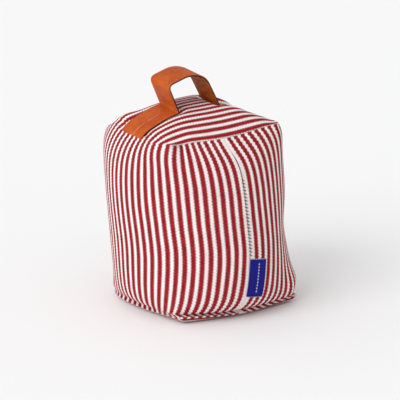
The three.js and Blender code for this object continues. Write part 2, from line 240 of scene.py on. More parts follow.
# How finely the pieces are meshed
CELLS_PER_SIDE = 44
CELLS_UP = 50
LIP_ROWS = 4
CREASE_ROWS = 7
CREASE_HEIGHT = 12                       # height above the lip with rows closer together
CREASE_CROWDING = 1.6                    # how much closer they are towards the lip
HEM_DEPTHS = (TURNED_IN / 3, TURNED_IN)  # depths of the rows of the turned-in cloth
FOLD_SUPPORT = 0.28                      # share of a cell where the row next to a fold lies
STRAP_STEP = 1.6
STEPS_IN_BEND = 12
STEPS_ON_TOP = 20
STEPS_ACROSS_STRAP = 15
STEPS_ROUND_EDGE = 6
PLACES_UNDER_STRAP = 5                   # places across the strap where it may touch the panel
STEPS_ALONG_RIBBON = 12
STEPS_UP_RIBBON = 22
STEPS_ALONG_STITCH = 7
THREAD_SIDES = 8

# The settling of the cloth
SIM_SCALE = 10     # the cloth is settled this many times larger
SIM_FRAMES = 24
CLOTH_SETTINGS = {
    "quality": 8,
    "mass": 0.3,
    "tension_stiffness": 15,
    "compression_stiffness": 15,
    "shear_stiffness": 4.5,
    "bending_stiffness": 0.5,
    "tension_damping": 5,
    "compression_damping": 5,
    "shear_damping": 5,
    "bending_damping": 0.5,
    "air_damping": 3,
    "pin_stiffness": 1.0,
    "use_pressure": True,
    "uniform_pressure_force": 2.0,
}
HOLD_CLOTH = 0.35  # how firmly the cloth is held in its place, from 0 to 1
HOLD_SEAM = 0.9    # and by the seams and the strap
HOLD_BASE = 1.0    # and where it rests on the floor
HELD_HEIGHT = 12   # the lip and crease are held up to this height above the base seam

# Colours
RED = (0.36, 0.013, 0.020, 1)
RED_DARK = (0.19, 0.004, 0.008, 1)
RED_LIT = (0.52, 0.06, 0.07, 1)
CREAM = (0.96, 0.865, 0.85, 1)
CREAM_DARK = (0.89, 0.79, 0.775, 1)
# painted shade between the ribs of the twill, multiplied into the cream
RIB_SHADE_COLOUR = (0.62, 0.52, 0.52, 1)
TOOTH_SHADOW = (0.07, 0.022, 0.018, 1)
TAN = (0.50, 0.094, 0.009, 1)
TAN_RED = (0.42, 0.066, 0.009, 1)
TAN_DARK = (0.24, 0.035, 0.010, 1)
# pale colour of the painted highlights on the strap's creases and of its worn scratch
TAN_HIGHLIGHT_AND_WEAR = (0.80, 0.40, 0.20, 1)
OCHRE = (0.54, 0.13, 0.012, 1)
# painted shade on the strap's inner side
OCHRE_PAINTED_SHADE = (0.20, 0.035, 0.006, 1)
EDGE_PAINT = (0.045, 0.016, 0.014, 1)
BLUE = (0.013, 0.012, 0.29, 1)
BLUE_DARK = (0.008, 0.007, 0.17, 1)
PALE_THREAD = (0.55, 0.56, 0.68, 1)
PALE_EDGE = (0.45, 0.45, 0.5, 1)
THREAD_DARK = (0.03, 0.02, 0.025, 1)
THREAD_PALE = (0.10, 0.07, 0.08, 1)
FLOOR_COLOUR = (0.905, 0.905, 0.91, 1)
WHITE = (1, 1, 1, 1)

# How strongly the ticking's colours change
EDGE_SHADE = 0.35                # depth of the shadow along a stripe's edge
NOTCH_SHADE = 0.8                # and where a rib steps back
EDGE_SHADE_REACH = (0.02, 0.10)  # how far that shadow reaches, in repeats of the stripe
RIB_SHADE = 0.22                 # depth of the shade between the ribs on the cream
CREST_LIGHT = 0.3                # how much a rib's crest is lit on the red
FADED = 0.08                     # how much broad patches of the cloth differ
TOOTH_STEP = 0.3                 # share of the ribs' wave over which a stripe's edge steps across
STRIPE_BLUR = 0.01               # in repeats of the stripe
SEAM_BLUR = 0.2

# Noise: its scale, detail and roughness
WANDER_NOISE = (0.035, 3, 0.5)
SLUB_NOISE = (0.32, 3, 0.7)
FADED_NOISE = (0.06, 2, 0.5)
HIDE_NOISE = (0.045, 3, 0.6)
PATCH_NOISE = (0.25, 5, 0.6)
RIBBON_NOISE = (2, 3, 0.5)
STRAND_NOISE = (900, 3, 0.5)
FLOOR_NOISE = (300, 3, 0.5)
PORE_SCALE = 1.3

# Levels of the noise between which a colour or a gloss goes over to the next
SLUB_LEVELS = (0.38, 0.6)
FADED_LEVELS = (0.35, 0.75)
HIDE_LEVELS = (0.35, 0.65)
STAIN_LEVELS = (0.45, 0.75)
EVEN_LEVELS = (0.3, 0.7)
HIGHLIGHT_AND_WEAR_LEVELS = (0.4, 0.6)
GLOSS_LEVELS = (0.3, 0.8)
STAIN_STRENGTH = 0.35

# Relief, roughness and mirroring of each material
TICKING_RELIEF = 0.22
YARN_SHARE = 0.35  # height of the yarns against the ribs
TICKING_ROUGHNESS = 0.92
TICKING_SPECULAR = 0.08
LEATHER_RELIEF = 0.18
PORE_SHARE = 0.6   # depth of the pores against the patches
LEATHER_ROUGHNESS = (0.42, 0.6)
LEATHER_SPECULAR = 0.1
RIBBON_RELIEF = 0.1
RIBBON_ROUGHNESS = 0.7
RIBBON_SPECULAR = 0.12
THREAD_RELIEF = 0.1
THREAD_ROUGHNESS = 0.8
THREAD_SPECULAR = 0.5
FLOOR_RELIEF = 0.02
FLOOR_ROUGHNESS = 0.9
FLOOR_SPECULAR = 0.1

# Floor, light and camera
FLOOR_WIDTH = 16000
WORLD_LEFT = 1.06         # brightness of the studio on the left
WORLD_RIGHT = 0.56        # and on the right
SUN_STRENGTH = 1.4
SUN_SPREAD = 45           # degrees
SUN_FROM = (-0.78, -0.22, 0.5)
CAMERA_AIM = (0, 0, 100)
CAMERA_AIM_RIGHT = -3.21
CAMERA_AIM_UP = 8.23
CAMERA_AZIMUTH = -0.5616  # radians, as is the elevation
CAMERA_ELEVATION = 0.2746
CAMERA_DISTANCE = 2000
CAMERA_LENS = 167.3
CAMERA_REACH = 100        # metres
SENSOR_WIDTH = 36

side_rise = SEAM_HEIGHT - BASE_LIFT
top_centre = np.array([-SLUMP_LEFT - LEAN_LEFT, LEAN_BACK - SLUMP_FRONT])
round_reach = 4 * TOP_SEAM_WIDTH / FULL_TURN
top_reach = TOP_SEAM_WIDTH / 2 + (round_reach - TOP_SEAM_WIDTH / 2) * TOP_CORNER_ROUNDNESS
girth = 4 * PANEL_WIDTH
strap_y = top_centre[1] - STRAP_FORWARD
left_foot = top_centre[0] + FOOT_SHIFT - FOOT_SPACING / 2
edge_turn = np.linspace(FULL_TURN / 4, -FULL_TURN / 4, STEPS_ROUND_EDGE)[1:-1]


def lerp(start, end, share):
    return start + (end - start) * share


def smooth(low, high, value):
    """0 below low, 1 above high and an S between them."""
    share = np.clip((value - low) / (high - low), 0, 1)
    return share * share * (3 - 2 * share)


def unit(vectors):
    """The same directions with a length of 1."""
    return vectors / np.linalg.norm(vectors, axis=-1, keepdims=True)


def stacked(x, y, z):
    """Places from their three coordinates, each of which may be the same along a row or a column."""
    return np.stack(np.broadcast_arrays(x, y, z), -1)


def turned(x, y, angle):
    return x * np.cos(angle) - y * np.sin(angle), x * np.sin(angle) + y * np.cos(angle)


# The bag's form

def square_point(share, width):
    """A place on a square, a share of the way round it from the middle of its front side."""
    walked = 4 * ((share + 1 / 8) % 1)
    face = np.floor(walked)
    along = (walked - face - 0.5) * width
    return turned(along, -width / 2 + 0 * along, face * FULL_TURN / 4)


def circle_point(share, width):
    """The same place once that square has swollen to a circle of the same girth."""
    radius = 4 * width / FULL_TURN
    angle = FULL_TURN * share - FULL_TURN / 4
    return radius * np.cos(angle), radius * np.sin(angle)


def swelling(rise):
    return 1 - np.exp(-np.maximum(rise - LIP_HEIGHT, 0) / BASE_ROUNDING)


def rolled(share):
    """1 at the corner that the belly has rolled over, falling to 0 a quarter of the way round."""
    return np.clip(np.cos(FULL_TURN * (share - ROLLED_CORNER)), 0, 1) ** ROLLED_CORNER_POWER


def roundness(share, rise):
    from_top = 1 - np.exp((rise - side_rise) / TOP_ROUNDING)
    at_base = lerp(BASE_CORNER_ROUNDNESS, ROLLED_CORNER_ROUNDNESS, rolled(share))
    lower = lerp(at_base, 1, swelling(rise))
    return lower * lerp(TOP_CORNER_ROUNDNESS, 1, from_top)


def at_crease(rise, fade):
    """Grows from 0 at the base seam to 1 at the crease, and fades out above it."""
    return np.where(rise < LIP_HEIGHT, rise / LIP_HEIGHT, np.exp((LIP_HEIGHT - rise) / fade))


def seam_level(x, y):
    """The height of the top seam at a place, without the fullness of the top panel."""
    across = np.clip((x - top_centre[0]) / top_reach, -1, 1)
    deep = np.clip((y - top_centre[1]) / top_reach, -1, 1)
    at_sides = across ** SAG_POWER * np.cos(deep * FULL_TURN / 4) ** 2
    at_ends = deep ** SAG_POWER * np.cos(across * FULL_TURN / 4) ** 2
    slope = TOP_SLOPE_RIGHT * (x - top_centre[0]) + TOP_SLOPE_BACK * (y - top_centre[1])
    return SEAM_HEIGHT + slope - EDGE_SAG * (at_sides + at_ends)


def dome(across, deep):
    """How far the top panel stands above its seams, at shares of the way out to them."""
    out = np.minimum((np.abs(across) ** DOME_SQUARENESS + np.abs(deep) ** DOME_SQUARENESS)
                     ** (1 / DOME_SQUARENESS), 1)
    return DOME_HEIGHT * (1 - out ** DOME_POWER)


def top_height(x, y):
    """The height of the top panel, without the hollow that the strap presses into it."""
    across = (x - top_centre[0]) / top_reach
    deep = (y - top_centre[1]) / top_reach
    domed = seam_level(x, y) + dome(across, deep)
    return shifted(stacked(x, y, domed))[..., 2]


def strap_sink(x):
    """How far the strap has pressed the top panel down at a place along it."""
    from_middle = x - top_centre[0] - FOOT_SHIFT
    sink = np.where(from_middle < 0, STRAP_SINK_LEFT, STRAP_SINK_RIGHT)
    far = FAR_SINK * smooth(FOOT_SPACING / 2, FOOT_SPACING / 2 + 2 * SINK_EDGE, from_middle)
    return far + sink * smooth(FOOT_SPACING / 2 - SINK_EDGE, FOOT_SPACING / 2, np.abs(from_middle))


def strap_hollow(x, y):
    """How far the top panel is pressed down at a place under the strap or beside it."""
    beside = np.abs(y - strap_y) - STRAP_WIDTH / 2
    return strap_sink(x) * (1 - smooth(0, SINK_BESIDE, beside))


def droop(rise):
    """How far the belly hangs down over the crease."""
    above = np.maximum(rise - LIP_HEIGHT, 0)
    return BELLY_DROOP * above / (above + DROOP_START) * np.exp(-above / DROOP_FADE)


def past_seam(share):
    """The distance along the cloth from the upright seam, below 0 to the left of it."""
    return ((share + 1 / 2) % 1 - 1 / 2) * girth


def slid(share, rise):
    """The share of the way round at which the cloth has come to lie."""
    from_seam = past_seam(share)
    moved = share
    for middle, reach_up, place, reach_along, far in SLIDES:
        nearness = np.exp(-((rise - middle) / reach_up) ** 2 - ((from_seam - place) / reach_along) ** 2)
        moved = moved + far / girth * nearness
    return moved


def side_point(share, rise):
    """Places on the side panel, a share of the way round and a height above the base seam."""
    share = slid(share, rise)
    width = lerp(PANEL_WIDTH, TOP_SEAM_WIDTH, np.exp((rise - side_rise) / GATHER_HEIGHT))
    square_x, square_y = square_point(share, width)
    circle_x, circle_y = circle_point(share, width)
    round_here = roundness(share, rise)
    x = lerp(square_x, circle_x, round_here)
    y = lerp(square_y, circle_y, round_here)
    length = np.hypot(x, y)
    crease = CREASE_DEPTH * (1 - ROLLED_CREASE * rolled(share))
    drawn_in = 1 - crease * at_crease(rise, CREASE_FADE) / length
    x, y = turned(x * drawn_in, y * drawn_in, -TWIST * at_crease(rise, TWIST_FADE))
    leaned = rise / side_rise
    x = x - SLUMP_LEFT * swelling(rise) - LEAN_LEFT * leaned
    y = y - SLUMP_FRONT * swelling(rise) + LEAN_BACK * leaned
    near_corner = (1 - np.cos(4 * FULL_TURN * share)) / 2
    lift = CORNER_LIFT * near_corner * (1 - rolled(share)) * np.exp(-rise / CORNER_LIFT_FADE)
    top_lift = (rise / side_rise) ** TOP_DRAW_POWER * (seam_level(x, y) - SEAM_HEIGHT)
    return shifted(stacked(x, y, BASE_LIFT + rise + lift + top_lift - droop(rise)))


def shifted(places):
    """Places of the cloth once the filling has pushed it out or let it fall in."""
    moved = places.copy()
    for centre, widths, shift in SHIFTS:
        away = (places - np.array(centre)) / np.array(widths)
        nearness = np.exp(-(away ** 2).sum(-1, keepdims=True))
        moved += nearness * np.array(shift)
    return moved


# The cloth, as one welded skin to simulate

def row_rises():
    """The heights of the cloth's rows above the base seam, closer together at the lip."""
    lip = np.linspace(0, LIP_HEIGHT, LIP_ROWS)
    crease = LIP_HEIGHT + CREASE_HEIGHT * np.linspace(0, 1, CREASE_ROWS)[1:] ** CREASE_CROWDING
    above = np.linspace(LIP_HEIGHT + CREASE_HEIGHT, side_rise, CELLS_UP)[1:]
    return np.concatenate([lip, crease, above])


rises = row_rises()
shares = np.arange(4 * CELLS_PER_SIDE) / (4 * CELLS_PER_SIDE)


def closed(values, axis=0):
    """The same row or grid with its first place again at its end."""
    return np.concatenate([values, values.take([0], axis)], axis)


def patch_inside(ring):
    """Fills a square patch inside a ring of places."""
    front, right, back, left = ring_edges(ring)
    count = len(front)
    across = np.linspace(0, 1, count)[None, :, None]
    deep = np.linspace(0, 1, count)[:, None, None]
    ruled = lerp(front[None], back[None], deep) + lerp(left[:, None], right[:, None], across)
    corners = lerp(lerp(front[0], front[-1], across), lerp(back[0], back[-1], across), deep)
    return ruled - corners


def ring_edges(ring):
    """The four edges of a square panel on a ring of places, each from left to right or front to back."""
    half = CELLS_PER_SIDE // 2
    looped = closed(np.roll(ring, half, axis=0))
    side = CELLS_PER_SIDE
    front = looped[:side + 1]
    right = looped[side:2 * side + 1]
    back = looped[2 * side:3 * side + 1][::-1]
    left = looped[3 * side:4 * side + 1][::-1]
    return front, right, back, left


def panel_shares():
    """How far each place of a square panel is across and deep, from -1 to 1."""
    line = np.linspace(-1, 1, CELLS_PER_SIDE + 1)
    return np.meshgrid(line, line)


def top_places(ring):
    """The top panel, on its own form inside its seams and on the seams at its edges."""
    across, deep = panel_shares()
    places = patch_inside(ring)
    inside = smooth(0, SEAM_BLEND, 1 - np.maximum(np.abs(across), np.abs(deep)))
    x, y = places[..., 0], places[..., 1]
    places[..., 2] = lerp(places[..., 2], top_height(x, y), inside) - strap_hollow(x, y)
    return places


def base_places(ring):
    """The base panel, flat on the floor but for its edge, which rises to its seams."""
    across, deep = panel_shares()
    places = patch_inside(ring)
    from_middle = np.maximum(np.abs(across), np.abs(deep)) * PANEL_WIDTH / 2
    places[..., 2] *= np.clip(1 - (PANEL_WIDTH / 2 - from_middle) / BASE_EDGE, 0, 1) ** BASE_EDGE_POWER
    return places


def bag_places():
    """Places of the side, top and base panels, in the form that the photographed bag has."""
    side = side_point(shares[None, :], rises[:, None])
    return side, top_places(side[-1]), base_places(side[0])


def flat_pattern():
    """The same places on a box folded from the flat panels, which has the cloth's own lengths."""
    x, y = square_point(shares, PANEL_WIDTH)
    side = stacked(x[None], y[None], rises[:, None])
    return side, patch_inside(side[-1]), patch_inside(side[0])


def numbers(rows, columns):
    """The vertex numbers of a grid of places."""
    return np.arange(rows * columns).reshape(rows, columns)


def grid_faces(index, flip=False):
    """The four-sided faces of a grid of vertex numbers."""
    low, high = index[:-1], index[1:]
    faces = np.stack([low[:, :-1], low[:, 1:], high[:, 1:], high[:, :-1]], -1).reshape(-1, 4)
    return faces[:, ::-1] if flip else faces


def tube_faces(rows, around):
    """The faces of a closed tube made of rows of places, with one face over each end."""
    index = numbers(rows, around)
    faces = grid_faces(closed(index, 1), True).tolist()
    return faces + [index[0].tolist(), index[-1][::-1].tolist()]


def weld(side, top, base):
    """One skin from the three panels. Returns its places, its faces and each panel's vertex numbers."""
    rows, around = side.shape[:2]
    side_index = numbers(rows, around)
    places = [side.reshape(-1, 3)]
    panels = [side_index]
    first = rows * around
    for panel, ring in ((top, side_index[-1]), (base, side_index[0])):
        index = patch_index(ring)
        inner = panel[1:-1, 1:-1].reshape(-1, 3)
        index[1:-1, 1:-1] = first + np.arange(len(inner)).reshape(panel.shape[0] - 2, -1)
        first += len(inner)
        places.append(inner)
        panels.append(index)
    around_side = grid_faces(closed(side_index, 1))
    faces = np.concatenate([around_side, grid_faces(panels[1]), grid_faces(panels[2], True)])
    return np.concatenate(places), faces, panels


def patch_index(ring):
    """A square panel's vertex numbers, with its edges on a ring of numbers."""
    front, right, back, left = ring_edges(ring)
    index = np.zeros((CELLS_PER_SIDE + 1, CELLS_PER_SIDE + 1), int)
    index[0] = front
    index[-1] = back
    index[:, 0] = left
    index[:, -1] = right
    return index


# Meshes

def placed(name, data):
    """An object with its data, put into the scene."""
    made = bpy.data.objects.new(name, data)
    bpy.context.scene.collection.objects.link(made)
    return made


def new_object(name, places, faces, material, scale=MM):
    """A smooth shaded mesh, put into the scene."""
    mesh = bpy.data.meshes.new(name)
    places = np.reshape(places, (-1, 3)) * scale
    mesh.from_pydata(places.tolist(), [], [list(map(int, face)) for face in faces])
    mesh.polygons.foreach_set("use_smooth", [True] * len(mesh.polygons))
    if material:
        mesh.materials.append(material)
    mesh.update()
    return placed(name, mesh)


def set_pattern(obj, places):
    """Stores where each vertex lies on the flat material, for the node materials to read."""
    attribute = obj.data.attributes.new("pattern", "FLOAT_VECTOR", "POINT")
    attribute.data.foreach_set("vector", np.asarray(places, np.float32).ravel())


def thicken(obj, thickness):
    made = obj.modifiers.new("thickness", "SOLIDIFY")
    made.thickness = thickness * MM
    made.offset = -1


def subdivide(obj):
    made = obj.modifiers.new("smooth", "SUBSURF")
    made.levels = 1
    made.render_levels = 1


# The simulation

def settle(places, pattern, faces, held):
    """Lets the cloth settle from the filled form towards the lengths of its flat pattern."""
    scale = SIM_SCALE * MM
    cloth = new_object("settling_cloth", places, faces, None, scale)
    cloth.shape_key_add(name="filled")
    flat = cloth.shape_key_add(name="pattern", from_mix=False)
    flat.data.foreach_set("co", (pattern * scale).astype(np.float32).ravel())
    group = cloth.vertex_groups.new(name="held")
    for weight in np.unique(held):
        group.add(np.flatnonzero(held == weight).tolist(), float(weight), "REPLACE")
    modifier = cloth.modifiers.new("cloth", "CLOTH")
    settings = modifier.settings
    for name, value in CLOTH_SETTINGS.items():
        setattr(settings, name, value)
    settings.vertex_group_mass = group.name
    settings.rest_shape_key = flat
    settings.effector_weights.gravity = 0
    modifier.collision_settings.use_collision = False
    modifier.collision_settings.use_self_collision = False
    modifier.point_cache.frame_start = 1
    modifier.point_cache.frame_end = SIM_FRAMES
    scene = bpy.context.scene
    for step in range(1, SIM_FRAMES + 1):
        scene.frame_set(step)
    settled = cloth.evaluated_get(bpy.context.evaluated_depsgraph_get())
    found = np.empty(len(places) * 3, np.float32)
    settled.data.vertices.foreach_get("co", found)
    scene.frame_set(1)
    bpy.data.objects.remove(cloth)
    return found.reshape(-1, 3).astype(float) / scale


def holding(side, top, base):
    """How firmly each place of the cloth is held where it is, from 0 to 1."""
    held_side = np.full((len(rises), len(shares)), HOLD_CLOTH)
    held_side[rises < HELD_HEIGHT] = HOLD_SEAM
    held_side[-1] = HOLD_SEAM
    held_top = np.full(top.shape[:2], HOLD_CLOTH)
    under_strap = np.abs(top[..., 1] - strap_y) < STRAP_WIDTH / 2
    held_top[under_strap] = HOLD_SEAM
    held_base = np.full(base.shape[:2], HOLD_BASE)
    return held_side, held_top, held_base


# Panels cut from the settled cloth

def hem(grid, flat, inward, apart, beyond, meeting=MEETING_SHARE):
    """Adds to the last row of a grid the cloth turned in behind a seam, with a row close to the fold."""
    edge = grid[-1] + apart
    near = lerp(edge, grid[-2], FOLD_SUPPORT)
    near_flat = lerp(flat[-1], flat[-2], FOLD_SUPPORT)
    grid_rows = [grid[:-1], near[None], edge[None]]
    flat_rows = [flat[:-1], near_flat[None], flat[-1:]]
    for depth in HEM_DEPTHS:
        grid_rows.append((grid[-1] + apart * meeting + inward * depth)[None])
        flat_rows.append((flat[-1] + np.array(beyond) * depth)[None])
    return np.concatenate(grid_rows), np.concatenate(flat_rows)


def hem_both_ends(grid, flat, after_last, before_first):
    """Hems the last row of a grid and then its first, each with a hem's own directions."""
    grid, flat = hem(grid, flat, *after_last)
    grid, flat = hem(grid[::-1], flat[::-1], *before_first)
    return grid[::-1], flat[::-1]


def across_first(grid, flat):
    """The same places with their rows and columns exchanged."""
    return grid.swapaxes(0, 1), flat.swapaxes(0, 1)


def grow(edge_values):
    """A row of directions made longer at both ends for the rows that hems have added on either side."""
    added = 1 + len(HEM_DEPTHS)
    return np.concatenate([edge_values[:1]] * added + [edge_values] + [edge_values[-1:]] * added)


def panel_object(name, grid, flat, material, flip=False):
    """A cloth panel from its places and its pattern, which carries the stripes."""
    made = new_object(name, grid, grid_faces(numbers(*grid.shape[:2]), flip), material)
    set_pattern(made, flat)
    thicken(made, CLOTH_THICKNESS)
    subdivide(made)
    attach(made, "root")
    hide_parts("filled_bag")
    return made


def outward_of(ring, up):
    """The direction away from the bag's middle at each place of a ring, tilted up or down."""
    out = ring - ring.mean(0)
    out[:, 2] = 0
    out = unit(out)
    out[:, 2] = up
    return unit(out)


def seam_gape(heights):
    """Where the upright seam gapes, as 1, and where it is drawn close, as 0."""
    return smooth(*GAPE_OPENS, heights) * (1 - smooth(*GAPE_CLOSES, heights))


def seam_gap(heights):
    """How wide the upright seam is between its folds."""
    slit = smooth(*SLIT_OPENS, heights) * (1 - smooth(*SLIT_CLOSES, heights))
    return lerp(lerp(CLOSED_SEAM_GAP, SLIT_GAP, slit), OPEN_SEAM_GAP, seam_gape(heights))


def gathered(side):
    """The side panel with the tucks of its gathers under the top seam."""
    from_seam = past_seam(shares)
    below = side_rise - rises[:, None]
    depth = np.zeros(side.shape[:2])
    for place, half_width, deep, long in TUCKS:
        depth = depth + deep * np.exp(-((from_seam - place) / half_width) ** 2 - (below / long) ** 2)
    depth = depth * smooth(0, TUCK_START, below)
    return side - depth[..., None] * outward_of(side[-1], 0)


def side_panel(side, material):
    """The strip round the sides, with its ends turned in at the upright seam."""
    grid = closed(side, 1)
    along = np.linspace(0, girth, grid.shape[1])
    flat = stacked(along[None], rises[:, None], 0.0)
    top_out = closed(outward_of(side[-1], TOP_SEAM_TILT))
    base_out = closed(outward_of(side[0], BASE_SEAM_TILT))
    down = np.array([0, 0, -SEAM_SLIT / 2])
    at_top = (-top_out, down, (0, 1, 0))
    at_base = (-base_out, -down, (0, -1, 0))
    grid, flat = hem_both_ends(grid, flat, at_top, at_base)
    grid, flat = across_first(grid, flat)
    normal = outward_of_seam(grid)
    tangent = np.cross(UP, normal)
    half_gap = (seam_gap(grid[0, :, 2]) / 2)[:, None]
    meeting = lerp(1, MEETING_SHARE, seam_gape(grid[0, :, 2]))[:, None]
    at_left = (-normal, -tangent * half_gap, (1, 0, 0), meeting)
    at_right = (-normal, tangent * half_gap, (-1, 0, 0), meeting)
    grid, flat = hem_both_ends(grid, flat, at_left, at_right)
    return panel_object("side_panel", *across_first(grid, flat), material)


def outward_of_seam(columns):
    """The direction that the cloth faces along the upright seam, from columns of places."""
    around = columns[1] - columns[-2]
    around[:, 2] = 0
    return unit(np.cross(around, UP))


def laid_flat(places):
    """Where each place of a square panel lies on its flat cloth, with its length walked from the front."""
    across, _ = panel_shares()
    steps = np.linalg.norm(np.diff(places, axis=0), axis=-1)
    walked = np.concatenate([0 * steps[:1], np.cumsum(steps, axis=0)])
    return stacked(across * PANEL_WIDTH / 2, walked, 0.0)


def square_panel(name, places, ring_out, apart, tuck, material, flip=False):
    """The top or base panel, with its four edges turned in and tucked behind the side panel's edge."""
    front, right, back, left = ring_edges(ring_out)
    right, left = grow(right), grow(left)
    up = np.array([0, 0, apart])
    at_back = (-back, up - back * tuck, (0, 1, 0))
    at_front = (-front, up - front * tuck, (0, -1, 0))
    grid, flat = hem_both_ends(places, laid_flat(places), at_back, at_front)
    at_right = (-right, up - right * tuck, (1, 0, 0))
    at_left = (-left, up - left * tuck, (-1, 0, 0))
    grid, flat = hem_both_ends(*across_first(grid, flat), at_right, at_left)
    return panel_object(name, *across_first(grid, flat), material, flip)


# Reading places off the side panel

def on_side(side, along, rise):
    """A place on the side panel and the direction it faces, from a distance along it and a height."""
    columns = side.shape[1]
    step = along / girth * columns
    left = int(math.floor(step))
    row = int(np.clip(np.searchsorted(rises, rise) - 1, 0, len(rises) - 2))
    up = (rise - rises[row]) / (rises[row + 1] - rises[row])
    corner = side[row:row + 2][:, [left % columns, (left + 1) % columns]]
    lower = lerp(corner[0, 0], corner[0, 1], step - left)
    upper = lerp(corner[1, 0], corner[1, 1], step - left)
    around = corner[0, 1] - corner[0, 0]
    upward = corner[1, 0] - corner[0, 0]
    return lerp(lower, upper, up), unit(np.cross(around, upward))


# The handle strap

def panel_under_strap(x):
    """How high the strap lies on the pressed panel at a place along it."""
    out = np.linspace(-STRAP_WIDTH / 2, STRAP_WIDTH / 2, PLACES_UNDER_STRAP)
    return float(np.max(top_height(x, strap_y + out) - STRAP_SLOPE * out) - strap_sink(x))


def on_top(x):
    """A place on the strap's middle line, seen from the front, where it lies on the top panel."""
    panel = np.array([x, panel_under_strap(x)])
    along = unit(np.array([x + 1, panel_under_strap(x + 1)]) - panel)
    above = np.array([-along[1], along[0]])
    return panel + above * (CLEARANCE + STRAP_THICKNESS / 2)


def rounded_corner(before, corner, after, radius):
    """Places round a bend, which starts and ends at most halfway to the bends on either side."""
    shorter = min(np.linalg.norm(before - corner), np.linalg.norm(after - corner)) / 2
    reach = min(radius, shorter)
    start = corner + unit(before - corner) * reach
    end = corner + unit(after - corner) * reach
    share = np.linspace(0, 1, STEPS_IN_BEND + 1)[:, None]
    return list(lerp(lerp(start, corner, share), lerp(corner, end, share), share))


def strap_line():
    """The strap's middle line seen from the front, evenly spaced, from the left seam to the right."""
    right_foot = left_foot + FOOT_SPACING
    left, right = on_top(left_foot), on_top(right_foot)
    corners = [
        (left, FOOT_FOLD_RADIUS),
        (left + (-LEFT_BEND_OUT, LEFT_BEND_RISE), LEFT_BEND_RADIUS),
        (left + (ARCH_IN, ARCH_RISE), ARCH_RADIUS),
        (right + (-RIGHT_BEND_IN, RIGHT_BEND_RISE), RIGHT_BEND_RADIUS),
        (right, FOOT_FOLD_RADIUS),
    ]
    left_end = top_centre[0] - top_reach
    right_end = top_centre[0] + top_reach
    flat_left = [on_top(x) for x in np.linspace(left_end, left_foot, STEPS_ON_TOP + 1)[:-1]]
    flat_right = [on_top(x) for x in np.linspace(right_foot, right_end, STEPS_ON_TOP + 1)[1:]]
    line = [flat_left[0] + (STRAP_END_IN, -STRAP_END_DIP), *flat_left]
    for index, (corner, radius) in enumerate(corners):
        before = flat_left[-1] if index == 0 else corners[index - 1][0]
        after = flat_right[0] if index == len(corners) - 1 else corners[index + 1][0]
        line += rounded_corner(before, corner, after, radius)
    line += [*flat_right, flat_right[-1] + (-STRAP_END_IN, -STRAP_END_DIP)]
    line = np.array(line)
    walked = np.concatenate([[0], np.cumsum(np.linalg.norm(np.diff(line, axis=0), axis=1))])
    even = np.arange(0, walked[-1], STRAP_STEP)
    return np.stack([np.interp(even, walked, line[:, 0]), np.interp(even, walked, line[:, 1])], -1)


def strap_section():
    """The strap's section as places across and through it, once round its rounded edges."""
    half, thick = STRAP_WIDTH / 2, STRAP_THICKNESS / 2
    flat = np.linspace(-half + thick, half - thick, STEPS_ACROSS_STRAP)
    edge_out = half - thick + thick * np.cos(edge_turn)
    edge_up = thick * np.sin(edge_turn)
    across = np.concatenate([flat, edge_out, flat[::-1], -edge_out[::-1]])
    through = np.concatenate([flat * 0 + thick, edge_up, flat * 0 - thick, edge_up[::-1]])
    return across, through


def handle_strap(material):
    """The leather band. Its pattern is the length from the left foot, and the way across and through."""
    line = strap_line()
    along = unit(np.gradient(line, axis=0))
    up = np.stack([-along[:, 1], along[:, 0]], -1)
    across, through = strap_section()
    at_left_foot = np.argmax(line[:, 0] > left_foot - FOOT_FOLD_RADIUS)
    walked = (np.arange(len(line)) - at_left_foot) * STRAP_STEP
    x = line[:, None, 0] + up[:, None, 0] * through[None]
    z = line[:, None, 1] + up[:, None, 1] * through[None] + STRAP_SLOPE * across[None]
    grid = stacked(x, strap_y + across[None], z)
    made = new_object("handle_strap", grid, tube_faces(*grid.shape[:2]), material)
    set_pattern(made, stacked(walked[:, None], across[None], through[None]))
    subdivide(made)
    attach(made, "root")
    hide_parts("handle_strap")
    return made


# The label and the thread

def side_label(side, material):
    """A length of ribbon folded in two, its cut ends caught in the upright seam."""
    gap = LABEL_THICKNESS - RIBBON_THICKNESS
    fold_start = LABEL_WIDTH - gap / 2
    straight = np.linspace(-LABEL_CAUGHT, fold_start, STEPS_ALONG_RIBBON)
    path = [(across, CLEARANCE + gap) for across in straight]
    path += [(fold_start + gap / 2 * math.cos(angle), CLEARANCE + gap / 2 * (1 + math.sin(angle)))
             for angle in edge_turn]
    path += [(across, CLEARANCE) for across in straight[::-1]]
    rows = []
    facts = []
    for up in np.linspace(0, LABEL_HEIGHT, STEPS_UP_RIBBON):
        row = []
        for number, (across, off) in enumerate(path):
            place, normal = on_side(side, across, LABEL_BASE + up - LABEL_DROOP * across)
            row.append(place + normal * (off + RIBBON_THICKNESS))
            facts.append((across, up, number))
        rows.append(row)
    grid = np.array(rows)
    made = new_object("side_label", grid, grid_faces(numbers(*grid.shape[:2])), material)
    set_pattern(made, facts)
    thicken(made, RIBBON_THICKNESS)
    subdivide(made)
    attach(made, "root")
    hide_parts("side_label")
    return made


def tube(path, radius):
    """Places and faces of a closed tube along a path."""
    path = np.asarray(path, float)
    along = unit(np.gradient(path, axis=0))
    side = unit(np.cross(along, np.array(ASKEW)))
    up = np.cross(side, along)
    turn = np.arange(THREAD_SIDES) / THREAD_SIDES * FULL_TURN
    ring = np.cos(turn)[None, :, None] * side[:, None] + np.sin(turn)[None, :, None] * up[:, None]
    places = path[:, None] + radius * ring
    return places.reshape(-1, 3), tube_faces(*places.shape[:2])


def join(parts):
    """The places and faces of several parts as those of one."""
    places, faces, first = [], [], 0
    for part_places, part_faces in parts:
        places.append(part_places)
        faces += [[first + corner for corner in face] for face in part_faces]
        first += len(part_places)
    return np.concatenate(places), faces


